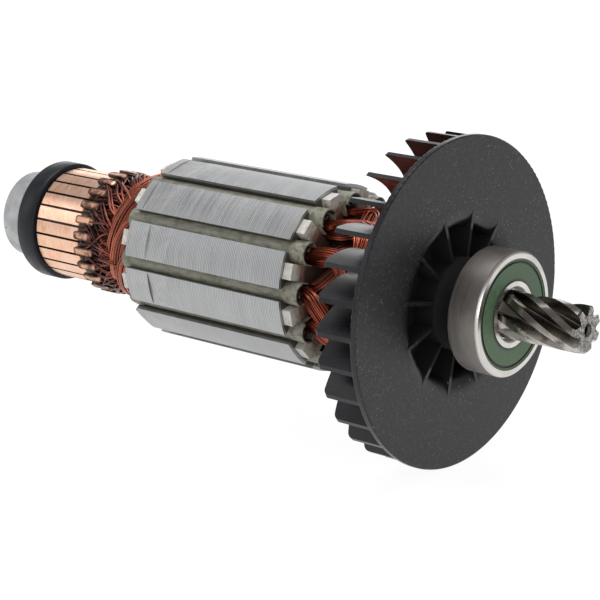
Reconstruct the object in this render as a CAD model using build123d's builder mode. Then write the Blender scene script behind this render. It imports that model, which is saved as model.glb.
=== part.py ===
from build123d import *
import os
from math import cos, pi, radians, sin, tan

# Motor armature of a mains hand tool, in millimetres. The shaft lies along X, the pinion points to +X
# and the origin is on the axis, at the shaft's shoulder that the front bearing sits against.
# Angles go round the axis from +Y towards +Z.

# Shaft and pinion
shaft_rear_end_x = -144.2
shaft_core_radius = 5.0
shaft_sleeve_seat_radius = 5.5
fan_seat_radius = 7.0
fan_seat_rear_x = -24.0
bearing_seat_end_x = 6.5
shaft_end_chamfer = 0.6
pinion_end_x = 27.0
pinion_tip_radius = 5.3
pinion_root_radius = 3.1
pinion_teeth = 7
pinion_pitch_radius = 3.75
pinion_helix_angle = 20.0
pinion_tooth_angle = 74.0
flute_full_depth_x = 13.5
flute_mouth = pinion_tip_radius + 0.6
flute_flank = ((flute_mouth, 19.0), (4.5, 14.5), (3.8, 10.7))
runout_undercut = 0.05
cutter_margin = 1.0
centre_hole_radius = 1.05
centre_hole_mouth_radius = 1.5
centre_hole_depth = 4.5
centre_hole_cone = 60

# Ball bearings: 12 x 28 x 8 in front, 8 x 22 x 7 at the rear
front_bearing_x = 0.0
front_bore = 12.0
front_outside = 28.0
front_width = 8.0
rear_bearing_x = -143.75
rear_bore = 8.0
rear_outside = 22.0
rear_width = 7.0
bearing_chamfer = 0.5
race_clearance = 0.02
seal_thickness = 0.8
seal_recess = 0.2
seal_gap = 0.12
pocket_clearance = 0.1
groove_to_ball = 1.04
cage_half_width_to_ball = 0.19
cage_depth_to_ball = 0.3
cage_end_clearance = 0.1
inner_ring_chamfer = 0.3
seal_step_clearance = 0.1
seal_groove_width = 0.5
seal_groove_inset = 0.75

# Lamination stack
stack_radius = 22.0
stack_front_x = -40.5
stack_length = 48.0
stack_bore_radius = 7.5
slot_count = 12
slot_angle = -1.0
slot_opening = 2.95
slot_top_radius = 2.8
slot_top_centre = 18.1
slot_bottom_radius = 1.28
slot_bottom_centre = 12.2
balance_cut_depth = 0.45
balance_cut_width = 6.5
balance_cuts = ((3, 5.5), (4, 5.2), (5, 9.6), (6, 10.4))

# Insulation in and on the stack
shoulder_gap = 0.1
sleeve_front_x = fan_seat_rear_x - shoulder_gap
sleeve_rear_x = -109.8
fit_clearance = 0.03
end_insulator_thickness = 2.4
end_insulator_radius = 21.0
end_insulator_hub_radius = 10.6
insulator_arm_width = 3.7
liner_clearance = 0.05
liner_thickness = 0.25
liner_overhang = 1.2
liner_top = 18.2
cuff_overhang = 3.4
cuff_bottom = 15.6
wedge_centre = 18.0
wedge_outer_radius = 2.7
wedge_thickness = 0.55
wedge_half_angle = 80.0
wedge_front_overhang = 4.0
wedge_rear_overhang = 2.4

# Winding: each coil spans five of the twelve slots
coil_span = 5
coil_count = slot_count
top_side_centre = 17.55
top_side_radius = 1.8
bottom_side_centre = 13.9
bottom_side_radius = 1.35
bottom_side_foot_centre = 12.7
bottom_side_foot_radius = 0.9
end_turn_radius = 1.4
front_end_turn_stretch = 1.3
side_overhang = 1.6
end_turn_overlap = 0.5
route_tangent_length = 0.3
lead_width = 0.6
lead_clearance = 0.05
lead_bend_inset = 1.0
lead_straight_x = -106.9
lead_middle_x = -105.2
lead_middle_slant = 3.1
lead_end_x = -102.2
lead_end_slant = 5.2
lead_spacing = 2.5

# Commutator
bar_count = 24
bar_angle = 8.06
bar_radius = 14.0
bar_inner_radius = 9.2
bar_gap = 0.6
bar_rear_x = -127.6
bar_front_x = -109.0
anchor_neck_width = 0.7
anchor_foot_width = 1.2
anchor_neck_radius = 8.7
anchor_foot_radius = 8.1
undercut = 0.8
hub_rear_x = -128.3
hub_front_x = -110.2
bush_radius = 6.6
hook_thickness = 0.85
hook_width = 2.0
hook_tip_x = -113.0
hook_rise = 1.5
hook_corner = 0.8
hook_root = 1.0
hook_bend_overhang = 0.6

# Insulation washer behind the commutator
washer_radius = 16.0
washer_front_x = -128.4
washer_width = 4.5
washer_boss_radius = 7.5
washer_boss_end_radius = 5.4
washer_rim_width = 1.4
washer_groove_depth = 2.6
washer_edge = 0.4

# Cooling fan
fan_front_x = -6.0
fan_radius = 37.7
fan_disc_thickness = 1.6
fan_rim_edge = 0.35
dish_radius = 21.5
dish_wall_radius = 16.9
dish_floor_x = -11.4
dish_wall_edge = (2.4, 0.4)
dish_lip = (0.75, 1.7)
dish_rear_fillet = (1.0, 0.9)
fan_wall = 1.5
fan_hub_radius = 10.5
fan_hub_front_x = -2.5
fan_hub_rear_x = -21.0
fan_hub_taper = 1.6
rib_count = 12
rib_angle = 18.5
rib_thickness = 0.85
rib_root = 0.5
blade_count = 31
blade_angle = 88.1
blade_radius = 37.2
blade_root_radius = 20.0
blade_height = 9.9
blade_thickness = 1.1
blade_corner = 1.0
blade_bend = ((37.2, 0.0), (33.2, -4.9), (29.2, -9.1), (25.2, -11.4), (19.5, -11.2))
blade_root_edge = ((4.2, 21.8), (9.0, 24.8), (9.9, 28.0))

os.makedirs("parts", exist_ok=True)


def around(radius, angle):
    """A point of a cross-section, by its radius and its angle."""
    return (radius * cos(radians(angle)), radius * sin(radians(angle)))


def finish(builder, name):
    """Names a sub-part and writes its file."""
    builder.part.label = name
    export_step(builder.part, f"parts/{name}.step")


# Shaft and helical pinion, turned and hobbed in one piece
pinion_lead = 2 * pi * pinion_pitch_radius / tan(radians(pinion_helix_angle))
flute_start_x = bearing_seat_end_x - cutter_margin
flute_length = pinion_end_x - flute_start_x + cutter_margin
flute_turn = 360 * (pinion_end_x - flute_start_x) / pinion_lead
tooth_pitch_angle = 360 / pinion_teeth
front_seat_radius = front_bore / 2 - race_clearance
rear_seat_radius = rear_bore / 2 - race_clearance

# The cutter of one tooth space: its section swept along the lead, less the arc in which a hob runs out.
# Each point of its flank is a radius and an angle from the middle of the space
with BuildPart() as flute:
    with BuildSketch(Plane.YZ.offset(flute_start_x)) as flute_section:
        middle = pinion_tooth_angle + tooth_pitch_angle / 2 - flute_turn
        flute_mouth_angle = flute_flank[0][1]
        with BuildLine():
            Spline(
                *[around(radius, middle - angle) for radius, angle in flute_flank],
                around(pinion_root_radius, middle),
                *[around(radius, middle + angle) for radius, angle in reversed(flute_flank)],
            )
            Line(
                around(flute_mouth, middle + flute_mouth_angle),
                around(flute_mouth, middle - flute_mouth_angle),
            )
        make_face()
    with BuildLine():
        helix = Helix(
            pitch=pinion_lead,
            height=flute_length,
            radius=pinion_pitch_radius,
            center=(flute_start_x, 0, 0),
            direction=(1, 0, 0),
        )
    sweep(sections=flute_section.sketch, path=helix, is_frenet=True)
    with BuildSketch(Plane.XZ):
        with BuildLine():
            runout = TangentArc(
                (flute_full_depth_x, pinion_root_radius - runout_undercut),
                (bearing_seat_end_x, pinion_tip_radius),
                tangent=(-1, 0),
            )
            Polyline(
                runout @ 1,
                (bearing_seat_end_x, flute_mouth + cutter_margin),
                (flute_start_x - cutter_margin / 2, flute_mouth + cutter_margin),
                (flute_start_x - cutter_margin / 2, 0),
                (flute_full_depth_x, 0),
                runout @ 0,
            )
        make_face()
    revolve(axis=Axis.X, mode=Mode.SUBTRACT)

with BuildPart() as shaft_with_pinion:
    with BuildSketch(Plane.XZ):
        with BuildLine():
            Polyline(
                (shaft_rear_end_x, 0),
                (shaft_rear_end_x, rear_seat_radius - shaft_end_chamfer),
                (shaft_rear_end_x + shaft_end_chamfer, rear_seat_radius),
                (rear_bearing_x + rear_width, rear_seat_radius),
                (rear_bearing_x + rear_width, shaft_core_radius),
                (sleeve_rear_x, shaft_core_radius),
                (sleeve_rear_x, shaft_sleeve_seat_radius),
                (fan_seat_rear_x, shaft_sleeve_seat_radius),
                (fan_seat_rear_x, fan_seat_radius),
                (front_bearing_x, fan_seat_radius),
                (front_bearing_x, front_seat_radius),
                (bearing_seat_end_x, front_seat_radius),
                (bearing_seat_end_x, pinion_tip_radius),
                (pinion_end_x - shaft_end_chamfer, pinion_tip_radius),
                (pinion_end_x, pinion_tip_radius - shaft_end_chamfer),
                (pinion_end_x, 0),
                close=True,
            )
        make_face()
    revolve(axis=Axis.X)
    for tooth in range(pinion_teeth):
        with Locations(Location((0, 0, 0), (tooth * tooth_pitch_angle, 0, 0))):
            add(flute.part, mode=Mode.SUBTRACT)

    # Centre-drill holes in both ends
    with Locations(Plane(origin=(pinion_end_x, 0, 0), z_dir=(1, 0, 0))):
        CounterSinkHole(centre_hole_radius, centre_hole_mouth_radius, centre_hole_depth, centre_hole_cone)
    with Locations(Plane(origin=(shaft_rear_end_x, 0, 0), z_dir=(-1, 0, 0))):
        CounterSinkHole(centre_hole_radius, centre_hole_mouth_radius, centre_hole_depth, centre_hole_cone)
finish(shaft_with_pinion, "shaft_with_pinion")

# Outline of one slot, pointing along +X, from its round bottom to its round top
with BuildSketch() as slot_hollow:
    with Locations((slot_top_centre, 0)):
        Circle(slot_top_radius)
    with Locations((slot_bottom_centre, 0)):
        Circle(slot_bottom_radius)
    make_hull()

# Stack of laminations, with milled flats that balance it
stack_rear_x = stack_front_x - stack_length
slot_pitch_angle = 360 / slot_count
tooth_angle = slot_angle + slot_pitch_angle / 2

with BuildPart() as lamination_stack:
    with BuildSketch(Plane.YZ.offset(stack_rear_x)):
        Circle(stack_radius)
        Circle(stack_bore_radius + fit_clearance, mode=Mode.SUBTRACT)
        with PolarLocations(0, slot_count, start_angle=slot_angle):
            add(slot_hollow.sketch, mode=Mode.SUBTRACT)
        with PolarLocations(stack_radius, slot_count, start_angle=slot_angle):
            Rectangle(2 * slot_opening, slot_opening, mode=Mode.SUBTRACT)
    extrude(amount=stack_length)

    # Flats across four neighbouring teeth, each given by its tooth and its distance from the rear
    for tooth, from_rear in balance_cuts:
        turn = tooth_angle + slot_pitch_angle * tooth
        with Locations(Location((stack_rear_x + from_rear, 0, 0), (turn, 0, 0))):
            with Locations((0, stack_radius - balance_cut_depth, 0)):
                Box(
                    balance_cut_width,
                    4 * balance_cut_depth,
                    stack_radius,
                    align=(Align.CENTER, Align.MIN, Align.CENTER),
                    mode=Mode.SUBTRACT,
                )
finish(lamination_stack, "lamination_stack")

# Insulating sleeve moulded round the shaft, which the stack is pressed on
with BuildPart() as shaft_insulation_sleeve:
    with BuildSketch(Plane.YZ.offset(sleeve_rear_x + shoulder_gap)):
        Circle(stack_bore_radius)
        Circle(shaft_sleeve_seat_radius + fit_clearance, mode=Mode.SUBTRACT)
    extrude(amount=sleeve_front_x - sleeve_rear_x - shoulder_gap)
finish(shaft_insulation_sleeve, "shaft_insulation_sleeve")

# End insulators: a spider of fibre on each end of the stack, with one arm on each tooth
for name, start_x in (
    ("front_end_insulator", stack_front_x),
    ("rear_end_insulator", stack_rear_x - end_insulator_thickness),
):
    with BuildPart() as end_insulator:
        with BuildSketch(Plane.YZ.offset(start_x)):
            with PolarLocations(end_insulator_radius / 2, slot_count, start_angle=tooth_angle):
                Rectangle(end_insulator_radius, insulator_arm_width)
            Circle(end_insulator_hub_radius)
            Circle(stack_bore_radius + fit_clearance, mode=Mode.SUBTRACT)
        extrude(amount=end_insulator_thickness)
    finish(end_insulator, name)

# Slot liners: folded insulating paper along the walls of every slot, with a cuff at the front
with BuildSketch() as liner_outline:
    add(slot_hollow.sketch)
    offset(amount=-liner_clearance, mode=Mode.REPLACE)
with BuildSketch() as liner_inside:
    add(slot_hollow.sketch)
    offset(amount=-liner_clearance - liner_thickness, mode=Mode.REPLACE)

with BuildSketch() as liner_section:
    with PolarLocations(0, slot_count, start_angle=slot_angle):
        add(liner_outline.sketch)
        add(liner_inside.sketch, mode=Mode.SUBTRACT)
    with PolarLocations(liner_top + slot_top_radius, slot_count, start_angle=slot_angle):
        Rectangle(2 * slot_top_radius, 3 * slot_top_radius, mode=Mode.SUBTRACT)

with BuildPart() as slot_liners:
    with BuildSketch(Plane.YZ.offset(stack_rear_x - liner_overhang)):
        add(liner_section.sketch)
    extrude(amount=stack_length + 2 * liner_overhang)
    with BuildSketch(Plane.YZ.offset(stack_front_x)):
        add(liner_section.sketch)
        Circle(cuff_bottom, mode=Mode.SUBTRACT)
    extrude(amount=cuff_overhang)
finish(slot_liners, "slot_liners")

# Slot wedges: curved strips of fibre that close the slots under the tooth tips
with BuildPart() as slot_wedges:
    with BuildSketch(Plane.YZ.offset(stack_rear_x - wedge_rear_overhang)):
        with PolarLocations(0, slot_count, start_angle=slot_angle):
            with Locations((wedge_centre, 0)):
                Circle(wedge_outer_radius)
                Circle(wedge_outer_radius - wedge_thickness, mode=Mode.SUBTRACT)
        wedge_foot = wedge_centre + wedge_outer_radius * cos(radians(wedge_half_angle))
        Circle(wedge_foot, mode=Mode.SUBTRACT)
    extrude(amount=stack_length + wedge_rear_overhang + wedge_front_overhang)
finish(slot_wedges, "slot_wedges")

# Coils: a high side in one slot, a low side five slots on, and an end turn at each end.
# The first halves of the end turns lie over the second halves, and they cross at the nose.
span_angle = coil_span * slot_pitch_angle
end_turn_start = side_overhang - end_turn_overlap
end_turn_route = (
    (top_side_centre, 0.0, end_turn_start),
    (17.5, 0.9, 2.4),
    (17.2, 9.0, 5.0),
    (16.6, 25.0, 7.2),
    (15.7, 45.0, 9.2),
    (14.6, 64.0, 10.95),
    (12.9, 79.0, 11.9),
    (11.4, 93.0, 10.9),
    (11.1, 112.0, 8.7),
    (11.9, 131.0, 6.3),
    (13.2, span_angle - 4.0, 4.2),
    (bottom_side_centre, span_angle - 0.5, 2.5),
    (bottom_side_centre, span_angle, end_turn_start),
)


def end_turn_points(end_x, outwards):
    """The route of an end turn, as points whose distance off the end of the stack is scaled."""
    return [(end_x + outwards * out, *around(radius, angle)) for radius, angle, out in end_turn_route]


with BuildSketch() as low_side:
    with Locations((bottom_side_centre, 0)):
        Circle(bottom_side_radius)
    with Locations((bottom_side_foot_centre, 0)):
        Circle(bottom_side_foot_radius)
    make_hull()

with BuildPart() as coil_form:
    with BuildSketch(Plane.YZ.offset(stack_rear_x - side_overhang)):
        with Locations((top_side_centre, 0)):
            Circle(top_side_radius)
        with PolarLocations(0, 1, start_angle=span_angle):
            add(low_side.sketch)
    extrude(amount=stack_length + 2 * side_overhang)
    for end_x, outwards in ((stack_front_x, front_end_turn_stretch), (stack_rear_x, -1)):
        points = end_turn_points(end_x, outwards)
        with BuildLine() as route:
            Spline(
                *points,
                tangents=[(outwards, 0, 0), (-outwards, 0, 0)],
                tangent_scalars=(route_tangent_length, route_tangent_length),
            )
        with BuildSketch(Plane(origin=points[0], z_dir=(outwards, 0, 0))) as section:
            Circle(end_turn_radius)
        sweep(sections=section.sketch, path=route.wires()[0])

for number in range(coil_count):
    with BuildPart() as coil:
        with Locations(Location((0, 0, 0), (slot_angle + number * slot_pitch_angle, 0, 0))):
            add(coil_form.part)
    finish(coil, f"coil_{number + 1:02d}")


bar_pitch_angle = 360 / bar_count


def bar_half_width(radius):
    """Half of a bar's width at a radius, with a gap of one width between bars."""
    half_pitch = radians(bar_pitch_angle / 2)
    return radius * tan(half_pitch) - bar_gap / 2 / cos(half_pitch)


# Outline of one commutator bar, pointing along +X, with the anchor that the moulding grips
blank_radius = bar_radius + cutter_margin
with BuildSketch() as bar_outline:
    with BuildLine():
        Polyline(
            (anchor_foot_radius, -anchor_foot_width / 2),
            (anchor_neck_radius, -anchor_neck_width / 2),
            (bar_inner_radius, -anchor_neck_width / 2),
            (bar_inner_radius, -bar_half_width(bar_inner_radius)),
            (blank_radius, -bar_half_width(blank_radius)),
            (blank_radius, bar_half_width(blank_radius)),
            (bar_inner_radius, bar_half_width(bar_inner_radius)),
            (bar_inner_radius, anchor_neck_width / 2),
            (anchor_neck_radius, anchor_neck_width / 2),
            (anchor_foot_radius, anchor_foot_width / 2),
            close=True,
        )
    make_face()
    Circle(bar_radius, mode=Mode.INTERSECT)

# Commutator bars: drawn copper, with a hook bent back over the wires at the front end
hook_height = bar_radius - hook_thickness / 2
hook_top = hook_height + hook_rise
hook_bend_x = bar_front_x + hook_bend_overhang

with BuildPart() as bar_form:
    with BuildSketch(Plane.YZ.offset(bar_rear_x)):
        add(bar_outline.sketch)
    extrude(amount=bar_front_x - bar_rear_x)
    with BuildSketch(Plane.XY) as hook:
        with BuildLine() as hook_line:
            Line((bar_front_x - hook_root, hook_height), (hook_bend_x, hook_height))
            TangentArc((hook_bend_x, hook_height), (hook_bend_x, hook_top), tangent=(1, 0))
            Line((hook_bend_x, hook_top), (hook_tip_x, hook_top))
        trace(line_width=hook_thickness)
    extrude(amount=hook_width / 2, both=True)
    fillet(
        bar_form.edges().filter_by(Axis.Y).group_by(Axis.Y)[-1].group_by(Axis.X)[0],
        radius=hook_corner,
    )

for number in range(bar_count):
    with BuildPart() as commutator_bar:
        with Locations(Location((0, 0, 0), (bar_angle + number * bar_pitch_angle, 0, 0))):
            add(bar_form.part)
    finish(commutator_bar, f"commutator_bar_{number + 1:02d}")

# Leads: the ends of the coils, a pair joined in a bend under each hook and laid back on the end turns
lead_seat = bar_radius + fit_clearance
lead_leg = hook_width / 2 + lead_width / 2 + lead_clearance
lead_bend_x = hook_bend_x - lead_bend_inset

with BuildPart() as lead_form:
    with BuildSketch(Plane.XZ.offset(-lead_seat)):
        with BuildLine():
            Polyline(
                (lead_end_x, lead_end_slant - lead_spacing),
                (lead_middle_x, lead_middle_slant - lead_spacing),
                (lead_straight_x, -lead_leg),
                (lead_bend_x, -lead_leg),
            )
            ThreePointArc((lead_bend_x, -lead_leg), (lead_bend_x - lead_leg, 0), (lead_bend_x, lead_leg))
            Polyline(
                (lead_bend_x, lead_leg),
                (lead_straight_x, lead_leg),
                (lead_middle_x, lead_middle_slant),
                (lead_end_x, lead_end_slant),
            )
        trace(line_width=lead_width)
    extrude(amount=-lead_width)

with BuildPart() as coil_leads:
    lead_turns = [bar_angle + number * bar_pitch_angle for number in range(bar_count)]
    with Locations(*[Location((0, 0, 0), (turn, 0, 0)) for turn in lead_turns]):
        add(lead_form.part)
finish(coil_leads, "coil_leads")

# Commutator hub: the moulding that holds the bars, with a fin in each gap cut back below the copper
with BuildSketch() as bar_seat:
    add(bar_outline.sketch)
    offset(amount=fit_clearance, kind=Kind.INTERSECTION, mode=Mode.REPLACE)

with BuildPart() as commutator_hub:
    with BuildSketch(Plane.YZ.offset(hub_rear_x)):
        Circle(bar_radius - undercut)
        Circle(bush_radius + fit_clearance, mode=Mode.SUBTRACT)
    extrude(amount=hub_front_x - hub_rear_x)
    with BuildSketch(Plane.YZ.offset(bar_rear_x - fit_clearance)):
        with PolarLocations(0, bar_count, start_angle=bar_angle):
            add(bar_seat.sketch)
    extrude(amount=bar_front_x - bar_rear_x, mode=Mode.SUBTRACT)
finish(commutator_hub, "commutator_hub")

# Bush in the hub, pressed on the shaft
with BuildPart() as commutator_bush:
    with BuildSketch(Plane.YZ.offset(hub_rear_x)):
        Circle(bush_radius)
        Circle(shaft_core_radius + fit_clearance, mode=Mode.SUBTRACT)
    extrude(amount=hub_front_x - hub_rear_x)
finish(commutator_bush, "commutator_bush")

# Insulation washer, whose boss reaches the inner ring of the rear bearing
washer_rear_x = washer_front_x - washer_width

with BuildPart() as insulation_washer:
    with BuildSketch(Plane.XZ):
        with BuildLine():
            Polyline(
                (washer_front_x, shaft_core_radius + fit_clearance),
                (washer_front_x, washer_radius),
                (washer_rear_x, washer_radius),
                (washer_rear_x, washer_radius - washer_rim_width),
                (washer_rear_x + washer_groove_depth, washer_radius - washer_rim_width),
                (washer_rear_x + washer_groove_depth, washer_boss_radius),
                (washer_rear_x, washer_boss_end_radius),
                (rear_bearing_x + rear_width, washer_boss_end_radius),
                (rear_bearing_x + rear_width, shaft_core_radius + fit_clearance),
                close=True,
            )
        make_face()
    revolve(axis=Axis.X)
    rim = insulation_washer.edges().filter_by(GeomType.CIRCLE)
    fillet(rim.filter_by(lambda edge: edge.radius > washer_radius - 0.01), radius=washer_edge)
finish(insulation_washer, "insulation_washer")

# Cooling fan, one moulding. The blades come first and are cut to their common outline.
# Each point of a blade is a radius and an angle, and each point of its root edge is a distance behind
# the disc and a radius
disc_rear_x = fan_front_x - fan_disc_thickness
blade_rear_x = disc_rear_x - blade_height
blade_top_x = disc_rear_x + fan_disc_thickness / 2
root_edge = [(disc_rear_x - behind, radius) for behind, radius in blade_root_edge]

with BuildPart() as cooling_fan:
    with BuildSketch(Plane.YZ.offset(blade_rear_x)):
        for blade in range(blade_count):
            turn = blade_angle + blade * 360 / blade_count
            with BuildLine():
                leading = []
                trailing = []
                for radius, bend in blade_bend:
                    half_angle = blade_thickness / 2 / radius * 180 / pi
                    leading.append(around(radius, turn + bend - half_angle))
                    trailing.append(around(radius, turn + bend + half_angle))
                Spline(*leading)
                Spline(*trailing)
                Line(leading[0], trailing[0])
                Line(leading[-1], trailing[-1])
            make_face()
    extrude(amount=blade_top_x - blade_rear_x)
    with BuildSketch(Plane.XZ):
        with BuildLine():
            Line((fan_front_x, blade_root_radius), (disc_rear_x, blade_root_radius))
            Spline((disc_rear_x, blade_root_radius), *root_edge, tangents=[(-1, 0.2), (0, 1)])
            Line(root_edge[-1], (blade_rear_x, blade_radius - blade_corner))
            TangentArc(
                (blade_rear_x, blade_radius - blade_corner),
                (blade_rear_x + blade_corner, blade_radius),
                tangent=(0, 1),
            )
            Polyline(
                (blade_rear_x + blade_corner, blade_radius),
                (fan_front_x, blade_radius),
                (fan_front_x, blade_root_radius),
            )
        make_face()
    revolve(axis=Axis.X, mode=Mode.INTERSECT)

    # Disc, dished middle and hub
    dish_wall_end = (fan_front_x - dish_wall_edge[0], dish_wall_radius + dish_wall_edge[1])
    with BuildSketch(Plane.XZ):
        with BuildLine():
            Polyline(
                (fan_front_x, dish_radius),
                (fan_front_x, fan_radius),
                (disc_rear_x, fan_radius),
                (disc_rear_x, dish_wall_radius + fan_wall + dish_rear_fillet[1]),
                (disc_rear_x - dish_rear_fillet[0], dish_wall_radius + fan_wall),
                (dish_floor_x - fan_wall, dish_wall_radius + fan_wall),
                (dish_floor_x - fan_wall, fan_hub_radius),
                (fan_hub_rear_x, fan_hub_radius),
                (fan_hub_rear_x, fan_seat_radius + fit_clearance),
                (fan_hub_front_x, fan_seat_radius + fit_clearance),
                (fan_hub_front_x, fan_hub_radius - fan_hub_taper),
                (fan_front_x, fan_hub_radius),
                (dish_floor_x, fan_hub_radius),
                (dish_floor_x, dish_wall_radius),
                dish_wall_end,
            )
            Spline(
                dish_wall_end,
                (fan_front_x - dish_lip[0], dish_wall_radius + dish_lip[1]),
                (fan_front_x, dish_radius),
                tangents=[(1, 0.2), (0, 1)],
            )
        make_face()
    revolve(axis=Axis.X)
    rim = cooling_fan.edges().filter_by(GeomType.CIRCLE)
    fillet(rim.filter_by(lambda edge: edge.radius > fan_radius - 0.01), radius=fan_rim_edge)

    # Ribs that stiffen the dish
    with BuildSketch(Plane.YZ.offset(dish_floor_x - fan_wall / 2)):
        rib_inner = fan_hub_radius - rib_root
        with PolarLocations((rib_inner + dish_radius) / 2, rib_count, start_angle=rib_angle):
            Rectangle(dish_radius - rib_inner, rib_thickness)
    extrude(amount=fan_front_x - dish_floor_x + fan_wall / 2)
finish(cooling_fan, "cooling_fan")


def bearing(name, rear_face_x, bore, outside, width, ball, ball_count, shoulders, lands):
    """Writes the pieces of one deep-groove ball bearing. Shoulders and lands are radii, inner first."""
    middle_x = rear_face_x + width / 2
    pitch_radius = (bore + outside) / 4
    groove_radius = ball / 2 * groove_to_ball
    step = seal_thickness + seal_recess + seal_step_clearance
    with BuildPart() as outer_ring:
        with BuildSketch(Plane.XZ):
            with Locations((middle_x, (outside / 2 + shoulders[1]) / 2)):
                ring = Rectangle(width, outside / 2 - shoulders[1])
            chamfer(ring.vertices().group_by(Axis.Y)[-1], bearing_chamfer)
            with Locations((middle_x, pitch_radius + ball / 2 + race_clearance - groove_radius)):
                Circle(groove_radius, mode=Mode.SUBTRACT)
            with Locations((rear_face_x, 0), (rear_face_x + width, 0)):
                Rectangle(2 * step, 2 * lands[1], mode=Mode.SUBTRACT)
        revolve(axis=Axis.X)
    finish(outer_ring, f"{name}_outer_ring")

    with BuildPart() as inner_ring:
        with BuildSketch(Plane.XZ):
            with BuildLine():
                Polyline(
                    (rear_face_x + inner_ring_chamfer, bore / 2),
                    (rear_face_x, bore / 2 + inner_ring_chamfer),
                    (rear_face_x, lands[0]),
                    (rear_face_x + step, lands[0]),
                    (rear_face_x + step, shoulders[0]),
                    (rear_face_x + width - step, shoulders[0]),
                    (rear_face_x + width - step, lands[0]),
                    (rear_face_x + width, lands[0]),
                    (rear_face_x + width, bore / 2 + inner_ring_chamfer),
                    (rear_face_x + width - inner_ring_chamfer, bore / 2),
                    close=True,
                )
            make_face()
            with Locations((middle_x, pitch_radius - ball / 2 - race_clearance + groove_radius)):
                Circle(groove_radius, mode=Mode.SUBTRACT)
        revolve(axis=Axis.X)
    finish(inner_ring, f"{name}_inner_ring")

    with BuildPart() as balls:
        with Locations(Location((middle_x, 0, 0), (0, 90, 0))):
            with PolarLocations(pitch_radius, ball_count):
                Sphere(ball / 2)
    finish(balls, f"{name}_balls")

    crown_back = width / 2 - step - cage_end_clearance
    cage_half_width = ball * cage_half_width_to_ball
    cage_depth = ball * cage_depth_to_ball
    with BuildPart() as cage:
        with BuildSketch(Plane.YZ.offset(middle_x - cage_depth)):
            Circle(pitch_radius + cage_half_width)
            Circle(pitch_radius - cage_half_width, mode=Mode.SUBTRACT)
        extrude(amount=crown_back + cage_depth)
        with Locations(Location((middle_x, 0, 0), (0, 90, 0))):
            with PolarLocations(pitch_radius, ball_count):
                Sphere(ball / 2 + pocket_clearance, mode=Mode.SUBTRACT)
    finish(cage, f"{name}_cage")

    seal_starts = (
        ("rear_seal", rear_face_x + seal_recess, rear_face_x + seal_recess),
        ("front_seal", rear_face_x + width - seal_recess - seal_thickness, rear_face_x + width - seal_recess),
    )
    for seal_name, start_x, face_x in seal_starts:
        with BuildPart() as seal:
            with BuildSketch(Plane.XZ):
                with Locations((start_x + seal_thickness / 2, (lands[0] + lands[1] + seal_gap) / 2)):
                    Rectangle(seal_thickness, lands[1] - lands[0] - seal_gap)
                with Locations((face_x, lands[1] - seal_groove_inset)):
                    Rectangle(seal_groove_width, seal_groove_width, mode=Mode.SUBTRACT)
            revolve(axis=Axis.X)
        finish(seal, f"{name}_{seal_name}")


bearing(
    "front_bearing", front_bearing_x, front_bore, front_outside, front_width,
    ball=4.76, ball_count=8, shoulders=(8.4, 11.5), lands=(7.4, 12.43),
)
bearing(
    "rear_bearing", rear_bearing_x, rear_bore, rear_outside, rear_width,
    ball=3.97, ball_count=7, shoulders=(6.1, 8.9), lands=(5.5, 9.7),
)
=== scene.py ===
import math
import bpy
import numpy as np
from mathutils import Matrix, Vector


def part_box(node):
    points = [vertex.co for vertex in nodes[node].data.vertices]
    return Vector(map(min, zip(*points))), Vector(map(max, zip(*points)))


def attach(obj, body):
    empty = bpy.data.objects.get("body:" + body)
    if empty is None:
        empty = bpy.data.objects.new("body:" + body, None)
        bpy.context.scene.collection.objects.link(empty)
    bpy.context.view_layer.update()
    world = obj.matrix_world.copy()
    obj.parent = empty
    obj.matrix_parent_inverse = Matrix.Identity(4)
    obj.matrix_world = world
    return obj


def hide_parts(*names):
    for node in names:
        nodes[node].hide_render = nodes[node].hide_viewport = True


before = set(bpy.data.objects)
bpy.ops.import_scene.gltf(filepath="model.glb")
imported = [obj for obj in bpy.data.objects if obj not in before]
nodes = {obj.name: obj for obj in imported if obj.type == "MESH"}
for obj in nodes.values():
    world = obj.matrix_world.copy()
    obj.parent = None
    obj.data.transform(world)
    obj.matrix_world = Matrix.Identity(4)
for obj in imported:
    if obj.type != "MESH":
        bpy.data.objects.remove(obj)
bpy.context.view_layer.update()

# Camera, as the photograph was taken: from beyond the pinion's end, to one side and a little above,
# with a long lens. Its place and its directions were fitted to the circles in the photograph.
camera = bpy.data.objects.new("camera", bpy.data.cameras.new("camera"))
bpy.context.scene.collection.objects.link(camera)
bpy.context.scene.camera = camera
camera.data.sensor_width = 36.0
camera.data.lens = 126.27
camera.data.clip_start = 0.01
camera.data.clip_end = 20.0
camera_place = (0.25525, -0.36703, 0.12509)
to_right = Vector((0.7662, 0.6427, 0.0))
to_top = Vector((-0.1714, 0.2043, 0.9638))
backwards = to_right.cross(to_top)
camera_turn = Matrix((to_right, to_top, backwards)).transposed().to_4x4()
camera.matrix_world = Matrix.Translation(camera_place) @ camera_turn
bpy.context.scene.view_settings.view_transform = "Standard"

# Floor and light of a small photo studio: a white table just under the fan's rim, a large soft box
# overhead, a smaller one on the left, a narrow one on the right and a broad one behind.
floor_z = -0.0380
floor_half = 6.0
floor_corners = (
    (-floor_half, -floor_half, floor_z),
    (floor_half, -floor_half, floor_z),
    (floor_half, floor_half, floor_z),
    (-floor_half, floor_half, floor_z),
)
floor_mesh = bpy.data.meshes.new("floor")
floor_mesh.from_pydata(floor_corners, [], [(0, 1, 2, 3)])
floor = bpy.data.objects.new("floor", floor_mesh)
bpy.context.scene.collection.objects.link(floor)

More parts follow.
